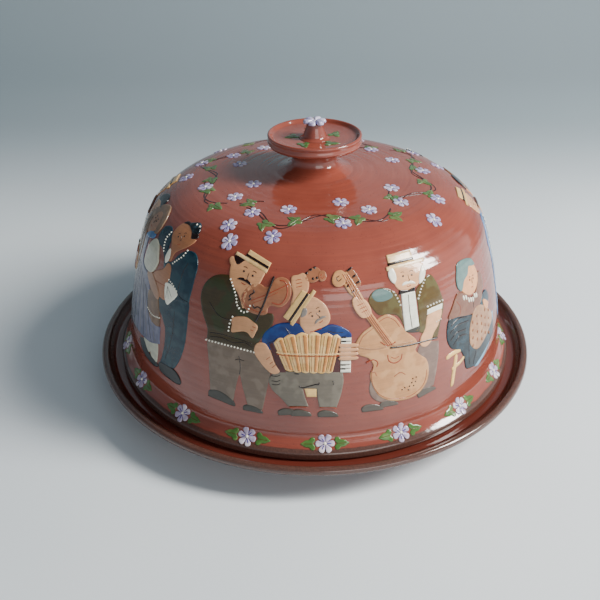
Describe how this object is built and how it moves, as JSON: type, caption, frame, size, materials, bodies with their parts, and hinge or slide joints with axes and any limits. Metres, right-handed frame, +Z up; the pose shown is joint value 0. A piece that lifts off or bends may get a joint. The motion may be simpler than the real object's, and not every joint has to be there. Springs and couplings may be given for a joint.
{
  "type": "domed serving cover on platter",
  "caption": "Glazed earthenware dome cover with dished knob, decorated in coloured slips, standing on a round platter.",
  "frame": {"origin": "centre of the foot ring's underside, on the table", "axes": "+Z up through the knob, -Y towards the accordion player, +X to the right of that side"},
  "size_m": [0.33, 0.33, 0.195],
  "materials": {
    "platter_glaze": "clear glaze over red earthenware",
    "cover_glaze": "clear glaze over red earthenware",
    "knob_glaze": "clear glaze over red earthenware",
    "finial_flower_slip": "coloured slip under clear glaze",
    "finial_leaves_slip": "coloured slip under clear glaze",
    "vine_stem_slip": "coloured slip under clear glaze",
    "vine_leaves_slip": "coloured slip under clear glaze",
    "crown_flowers_slip": "coloured slip under clear glaze",
    "foot_flowers_slip": "coloured slip under clear glaze",
    "foot_leaves_slip": "coloured slip under clear glaze",
    "dancer_dress_slip": "coloured slip under clear glaze",
    "dancer_linen_slip": "coloured slip under clear glaze",
    "dancer_skin_slip": "coloured slip under clear glaze",
    "dancer_hair_slip": "coloured slip under clear glaze",
    "partner_suit_slip": "coloured slip under clear glaze",
    "partner_skin_slip": "coloured slip under clear glaze",
    "partner_beret_slip": "coloured slip under clear glaze",
    "partner_shoes_slip": "coloured slip under clear glaze",
    "fiddler_jacket_slip": "coloured slip under clear glaze",
    "fiddler_trousers_slip": "coloured slip under clear glaze",
    "fiddler_skin_slip": "coloured slip under clear glaze",
    "fiddler_hat_slip": "coloured slip under clear glaze",
    "fiddler_shoes_slip": "coloured slip under clear glaze",
    "fiddle_slip": "coloured slip under clear glaze",
    "accordionist_shirt_slip": "coloured slip under clear glaze",
    "accordionist_trousers_slip": "coloured slip under clear glaze",
    "accordionist_skin_slip": "coloured slip under clear glaze",
    "accordionist_hat_slip": "coloured slip under clear glaze",
    "accordionist_shoes_slip": "coloured slip under clear glaze",
    "accordion_bellows_slip": "coloured slip under clear glaze",
    "accordion_ends_slip": "coloured slip under clear glaze",
    "accordionist_stool_slip": "coloured slip under clear glaze",
    "bassist_jacket_slip": "coloured slip under clear glaze",
    "bassist_shirt_front_slip": "coloured slip under clear glaze",
    "bassist_trousers_slip": "coloured slip under clear glaze",
    "bassist_skin_slip": "coloured slip under clear glaze",
    "bassist_hat_slip": "coloured slip under clear glaze",
    "bassist_shoes_slip": "coloured slip under clear glaze",
    "double_bass_slip": "coloured slip under clear glaze",
    "sitter_bodice_slip": "coloured slip under clear glaze",
    "sitter_skirt_slip": "coloured slip under clear glaze",
    "sitter_skin_slip": "coloured slip under clear glaze",
    "sitter_hair_slip": "coloured slip under clear glaze",
    "sitter_basket_slip": "coloured slip under clear glaze",
    "sitter_stool_slip": "coloured slip under clear glaze",
    "flautist_coat_slip": "coloured slip under clear glaze",
    "flautist_skin_slip": "coloured slip under clear glaze",
    "flautist_hat_slip": "coloured slip under clear glaze",
    "flute_slip": "coloured slip under clear glaze",
    "drummer_waistcoat_slip": "coloured slip under clear glaze",
    "drummer_breeches_slip": "coloured slip under clear glaze",
    "drummer_skin_slip": "coloured slip under clear glaze",
    "drummer_hat_slip": "coloured slip under clear glaze",
    "drum_slip": "coloured slip under clear glaze"
  },
  "bodies": {
    "platter": {"platter": "platter_glaze"},
    "cover": {"cover": "cover_glaze", "knob": "knob_glaze", "finial": "knob_glaze", "finial_flower": "finial_flower_slip", "finial_leaves": "finial_leaves_slip", "vine_stem": "vine_stem_slip", "vine_leaves": "vine_leaves_slip", "crown_flowers": "crown_flowers_slip", "foot_flowers": "foot_flowers_slip", "foot_leaves": "foot_leaves_slip", "dancer_dress": "dancer_dress_slip", "dancer_linen": "dancer_linen_slip", "dancer_skin": "dancer_skin_slip", "dancer_hair": "dancer_hair_slip", "partner_suit": "partner_suit_slip", "partner_skin": "partner_skin_slip", "partner_beret": "partner_beret_slip", "partner_shoes": "partner_shoes_slip", "fiddler_jacket": "fiddler_jacket_slip", "fiddler_trousers": "fiddler_trousers_slip", "fiddler_skin": "fiddler_skin_slip", "fiddler_hat": "fiddler_hat_slip", "fiddler_shoes": "fiddler_shoes_slip", "fiddle": "fiddle_slip", "accordionist_shirt": "accordionist_shirt_slip", "accordionist_trousers": "accordionist_trousers_slip", "accordionist_skin": "accordionist_skin_slip", "accordionist_hat": "accordionist_hat_slip", "accordionist_shoes": "accordionist_shoes_slip", "accordion_bellows": "accordion_bellows_slip", "accordion_ends": "accordion_ends_slip", "accordionist_stool": "accordionist_stool_slip", "bassist_jacket": "bassist_jacket_slip", "bassist_shirt_front": "bassist_shirt_front_slip", "bassist_trousers": "bassist_trousers_slip", "bassist_skin": "bassist_skin_slip", "bassist_hat": "bassist_hat_slip", "bassist_shoes": "bassist_shoes_slip", "double_bass": "double_bass_slip", "sitter_bodice": "sitter_bodice_slip", "sitter_skirt": "sitter_skirt_slip", "sitter_skin": "sitter_skin_slip", "sitter_hair": "sitter_hair_slip", "sitter_basket": "sitter_basket_slip", "sitter_stool": "sitter_stool_slip", "flautist_coat": "flautist_coat_slip", "flautist_skin": "flautist_skin_slip", "flautist_hat": "flautist_hat_slip", "flute": "flute_slip", "drummer_waistcoat": "drummer_waistcoat_slip", "drummer_breeches": "drummer_breeches_slip", "drummer_skin": "drummer_skin_slip", "drummer_hat": "drummer_hat_slip", "drum": "drum_slip"}
  },
  "joints": [
    {"name": "cover_lift", "type": "slide", "parent": "platter", "child": "cover", "axis": [0, 0, 1], "range_m": [0, 0.25]}
  ]
}
